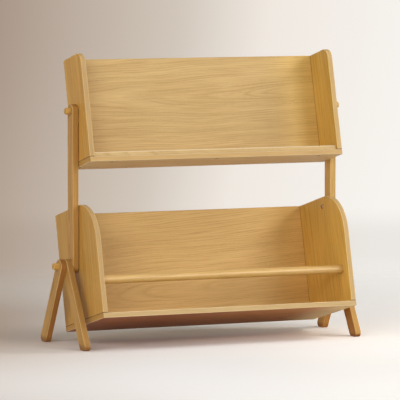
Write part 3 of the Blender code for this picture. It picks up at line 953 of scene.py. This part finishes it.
# CAD nodes that keep their mesh, by a word in their names; the screws are modelled once for each length
cadFinish = {"insert": "zinc_plated_steel", "spacer": "black_nylon", "_pin": "beech_pin"}
models = {}
for node, thing in list(nodes.items()):
    for word, finish in cadFinish.items():
        if word in node:
            thing.material_slots[0].material = hardware[finish]
    if "screw" in node:
        across = node.startswith(("left_", "right_"))
        low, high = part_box(node) if across else leaningBox(node, bins["lean"])
        length = round(high.x - low.x if across else high.z - low.z, screwShape["digits"])
        if length not in models:
            models[length] = makeScrew(length)
        piece = models[length].copy()
        piece.data = models[length].data.copy()
        piece.name = node + "_driven"
        bpy.context.scene.collection.objects.link(piece)
        if across:
            placeAcross(piece, low, high)
        else:
            piece.location = ((low.x + high.x) / 2, (low.y + high.y) / 2, low.z)
            settle(piece)
            settle(piece, bins["lean"])
        done(piece, hardware["dark_steel"], "dark_steel", node)
    if "connector_bolt" in node:
        low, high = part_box(node)
        piece = makeBolt(high.x - low.x, (high.z - low.z) / 2)
        piece.name = node + "_driven"
        placeAcross(piece, low, high)
        done(piece, hardware["burnished_steel"], "dark_steel", node)
for model in models.values():
    bpy.data.objects.remove(model, do_unlink=True)
print("fasteners made")


# camera, floor, backdrop and lamps
shot = {
    "place": (-4.209088, -9.308242, 1.213678),
    "yaw": 24.233,
    "pitch": -4.512,
    "lens": 316.68,
    "sensor": 36,
    "far": 200,
}
select()
turn = (radians(90 + shot["pitch"]), 0, -radians(shot["yaw"]))
bpy.ops.object.camera_add(location=shot["place"], rotation=turn)
camera = bpy.context.active_object
camera.data.lens = shot["lens"]
camera.data.sensor_width = shot["sensor"]
camera.data.clip_end = shot["far"]
bpy.context.scene.camera = camera

# floor: its tones, and where each starts and is full, in metres rightward and forward from the middle
floorLook = {
    "radius": 3.6,
    "sides": 160,
    "fade": (0.7, 2.5),
    "roughness": 0.8,
    "gloss": 0.2,
    "shade": (0.56, 0.40, 0.285, 1.0),
    "shadeRight": (-0.9, 0.0),
    "shadeForward": (-1.3, 0.2),
    "shadeLeast": 0.15,
    "shadeLost": (0.5, 1.8),
    "lostShare": 0.6,
    "pale": (0.94, 0.915, 0.885, 1.0),
    "far": (1.00, 0.968, 0.920, 1.0),
    "farForward": (-0.8, 0.6),
    "farRight": (0.0, 0.5),
    # painted light thrown down by the wood under the bins
    "warm": (0.98, 0.905, 0.82, 1.0),
    "warmWide": (0.30, 0.50),
    "warmDeep": (0.08, 0.26),
    "warmMiddle": 0.10,
    "dark": (0.0, 0.0, 0.0, 1.0),
    "glow": (0.10, 0.092, 0.086, 1.0),
    "glowRight": (-0.1, 0.45),
    "glowForward": (-0.75, -0.1),
}
bpy.ops.mesh.primitive_circle_add(vertices=floorLook["sides"], radius=floorLook["radius"], fill_type="NGON",
                                  location=(0, 0, 0))
floor = bpy.context.active_object
floor.name = "floor"
surface = bpy.data.materials.new("pale floor")
bench = Bench(surface)
x, y, _ = bench.apart(bench.add("ShaderNodeTexCoord", out="Object"))
yaw = radians(shot["yaw"])
rightward = x * cos(yaw) - y * sin(yaw)
forward = x * sin(yaw) + y * cos(yaw)
distance = (x * x + y * y).root()
# the camera sees a floor shaded towards the left rear, while the floor that throws light back is pale all over
seen = bench.add("ShaderNodeLightPath", out="Is Camera Ray")
least = floorLook["shadeLeast"]
rear = forward.rise(*floorLook["shadeForward"]) * (1 - least) + least
lost = forward.rise(*floorLook["shadeLost"]) * floorLook["lostShare"]
dim = (1.0 - rightward.rise(*floorLook["shadeRight"])) * rear * (1.0 - lost)
beyond = forward.rise(*floorLook["farForward"]).most(rightward.rise(*floorLook["farRight"]))
paleness = bench.mix(beyond * seen, floorLook["pale"], floorLook["far"])
# under the bins it is painted warmer: painted light that the wood throws down onto the floor
under = 1.0 - x.size().rise(*floorLook["warmWide"])
under = under * (1.0 - (y - floorLook["warmMiddle"]).size().rise(*floorLook["warmDeep"]))
paleness = bench.mix(under * seen, paleness, floorLook["warm"])
floorColour = bench.mix(dim * seen, paleness, floorLook["shade"])
# and at the rear right a glow seen only by the camera paints it brighter: painted light over the bins' shadow
# there, blending into the backdrop
brighter = rightward.rise(*floorLook["glowRight"]) * forward.rise(*floorLook["glowForward"]) * seen
glow = bench.mix(brighter, floorLook["dark"], floorLook["glow"])
given = {
    "Base Color": floorColour,
    "Emission Color": glow,
    "Emission Strength": 1.0,
    "Roughness": floorLook["roughness"],
    "Specular IOR Level": floorLook["gloss"],
}
painted = bench.add("ShaderNodeBsdfPrincipled", None, given)
clear = bench.add("ShaderNodeBsdfTransparent")
fade = distance.rise(*floorLook["fade"])
bench.output(bench.add("ShaderNodeMixShader", None, {0: fade, 1: painted, 2: clear}))
floor.data.materials.append(surface)

# backdrop: its tones from left to right, painted darker towards the left where less light falls, and a faint
# band of painted shade where the floor ends
backdropStops = [
    (0.0, (0.82, 0.79, 0.76)),
    (0.30, (0.60, 0.54, 0.49)),
    (0.43, (0.36, 0.27, 0.21)),
    (0.49, (0.64, 0.565, 0.49)),
    (0.515, (0.87, 0.81, 0.745)),
    (0.56, (0.93, 0.905, 0.865)),
]
backdrop = {
    "middle": 0.5,
    "shift": (-0.10, -0.02, 0.010, -0.0045),
    "bandStart": (-0.104, -0.093),
    "bandEnd": (-0.089, -0.080),
    "bandShare": 0.14,
    "band": (0.22, 0.15, 0.11, 1.0),
}
ambience = {"colour": (1.0, 1.0, 1.0, 1.0), "least": 0.025, "rear": 0.32, "turn": (0.1, 0.9)}
world = bpy.data.worlds.new("studio")
bpy.context.scene.world = world
bench = Bench(world)
x, y, z = bench.apart(bench.add("ShaderNodeTexCoord", out="Generated"))
rightward = x * cos(yaw) - y * sin(yaw)
across = rightward + backdrop["middle"] + z.rise(*backdrop["shift"])
backdropColour = bench.add("ShaderNodeValToRGB", {"stops": backdropStops}, {"Fac": across})
band = z.rise(*backdrop["bandStart"]) * (1.0 - z.rise(*backdrop["bandEnd"])) * backdrop["bandShare"]
backdropColour = bench.mix(band, backdropColour, backdrop["band"])
rays = bench.tree.nodes.new("ShaderNodeLightPath")
looks = [Wire(bench, rays.outputs[name]) for name in ("Is Camera Ray", "Is Glossy Ray", "Is Transmission Ray")]
shown = looks[0].most(looks[1]).most(looks[2])
# what lights the object is soft and comes mostly from behind
strength = y.rise(*ambience["turn"]) * ambience["rear"] + ambience["least"]
ambient = bench.add("ShaderNodeBackground", None, {"Color": ambience["colour"], "Strength": strength})
pictured = bench.add("ShaderNodeBackground", None, {"Color": backdropColour, "Strength": 1.0})
sky = bench.add("ShaderNodeMixShader", None, {0: shown, 1: ambient, 2: pictured})
bench.output(sky, "ShaderNodeOutputWorld")

lamps = {
    "front left": {"place": (-3.4, -4.0, 1.9), "size": 2.2, "power": 105},
    "front right": {"place": (2.6, -4.6, 1.9), "size": 2.2, "power": 110},
    "left": {"place": (-4.2, -1.0, 2.4), "size": 2.4, "power": 52},
    "top": {"place": (0.2, -0.6, 3.4), "size": 2.4, "power": 15},
    "right": {"place": (3.4, -1.2, 2.7), "size": 1.8, "power": 72},
    "top front": {"place": (0.6, -3.2, 3.6), "size": 2.2, "power": 25},
}
aim = Vector((0, 0, 0.35))  # all lamps look at the lower middle of the bookcase
for name, lamp in lamps.items():
    spot = Vector(lamp["place"])
    turn = (aim - spot).to_track_quat("-Z", "Y").to_euler()
    bpy.ops.object.light_add(type="AREA", location=spot, rotation=turn)
    light = bpy.context.active_object
    light.name = name
    light.data.shape = "DISK"
    light.data.size = lamp["size"]
    light.data.energy = lamp["power"]
bpy.context.scene.view_settings.view_transform = "Standard"
print("stage set")
